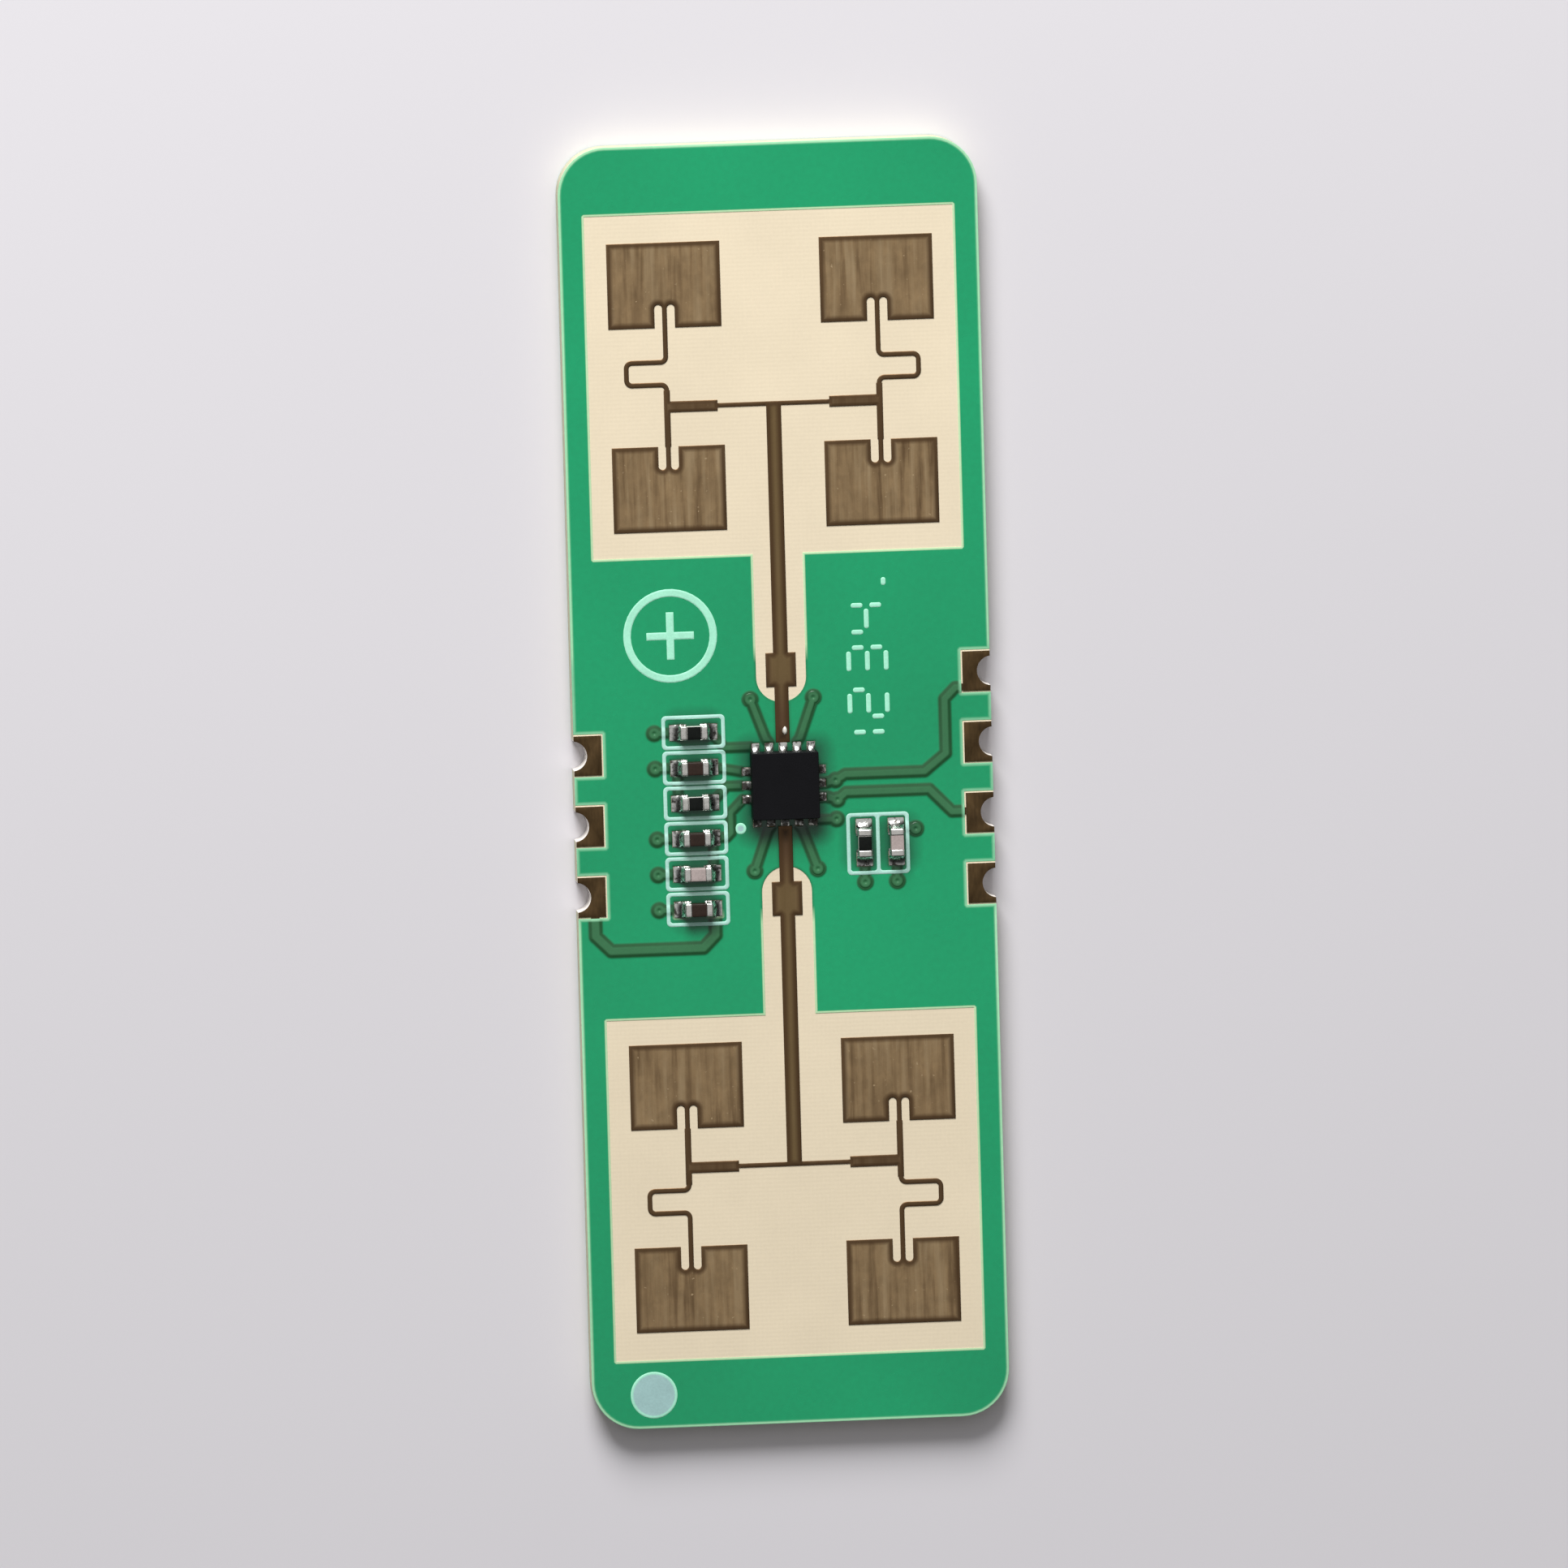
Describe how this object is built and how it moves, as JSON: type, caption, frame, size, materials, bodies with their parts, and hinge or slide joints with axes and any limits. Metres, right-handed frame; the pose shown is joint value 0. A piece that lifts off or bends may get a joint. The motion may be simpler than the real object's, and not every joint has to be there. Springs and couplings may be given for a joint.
{
  "type": "radar motion sensor module",
  "caption": "Small green circuit board with two printed patch-antenna arrays, a radar chip and half-hole edge contacts.",
  "frame": {"origin": "centre of the board's rear face, which the module rests on", "axes": "+X across the board, +Y along it towards the transmit antenna, +Z out of the component side"},
  "size_m": [0.015, 0.046, 0.0017],
  "materials": {
    "solder_mask": "green varnish, semi-gloss",
    "rf_laminate": "cream ceramic-filled laminate, matt with a faint weave",
    "fibreglass": "cut glass-fibre edge, pale and slightly rough",
    "bare_copper": "bare copper with a brown protective finish, brushed",
    "covered_copper": "etched copper foil",
    "mould_compound": "black moulding compound, fine matt grain",
    "silicon": "polished silicon",
    "lead_frame": "tinned copper",
    "bond_gold": "drawn gold wire",
    "solder": "reflowed solder, bright",
    "terminal_tin": "plated tin, satin",
    "resistor_ceramic": "white alumina",
    "resistor_coat": "black glass overcoat",
    "capacitor_brown": "dark brown sintered ceramic",
    "capacitor_grey": "pale grey-pink sintered ceramic",
    "legend_ink": "pale mint-white screen-printed ink"
  },
  "bodies": {
    "root": {"board_core": "fibreglass", "bonding_layer": "fibreglass", "capacitor_1_body": "capacitor_brown", "capacitor_1_terminals": "terminal_tin", "capacitor_2_body": "capacitor_brown", "capacitor_2_terminals": "terminal_tin", "capacitor_3_body": "capacitor_grey", "capacitor_3_terminals": "terminal_tin", "capacitor_4_body": "capacitor_brown", "capacitor_4_terminals": "terminal_tin", "capacitor_5_body": "capacitor_grey", "capacitor_5_terminals": "terminal_tin", "chip_body": "mould_compound", "chip_bond_wires": "bond_gold", "chip_die": "silicon", "chip_leads": "lead_frame", "chip_paddle": "lead_frame", "chip_solder": "solder", "code_field": "legend_ink", "component_frames": "legend_ink", "corner_dot": "legend_ink", "feed_solder_bead": "solder", "front_solder_mask": "solder_mask", "inner_ground_plane": "covered_copper", "left_edge_contact_1": "bare_copper", "left_edge_contact_2": "bare_copper", "left_edge_contact_3": "bare_copper", "part_solder": "solder", "pin_one_dot": "legend_ink", "plated_vias": "covered_copper", "rear_ground_plane": "covered_copper", "rear_solder_mask": "solder_mask", "receive_antenna": "bare_copper", "resistor_1_overcoat": "resistor_coat", "resistor_1_substrate": "resistor_ceramic", "resistor_1_terminals": "terminal_tin", "resistor_2_overcoat": "resistor_coat", "resistor_2_substrate": "resistor_ceramic", "resistor_2_terminals": "terminal_tin", "resistor_3_overcoat": "resistor_coat", "resistor_3_substrate": "resistor_ceramic", "resistor_3_terminals": "terminal_tin", "rf_laminate": "rf_laminate", "right_edge_contact_1": "bare_copper", "right_edge_contact_2": "bare_copper", "right_edge_contact_3": "bare_copper", "right_edge_contact_4": "bare_copper", "ring_mark": "legend_ink", "signal_tracks": "covered_copper", "transmit_antenna": "bare_copper"}
  },
  "joints": []
}
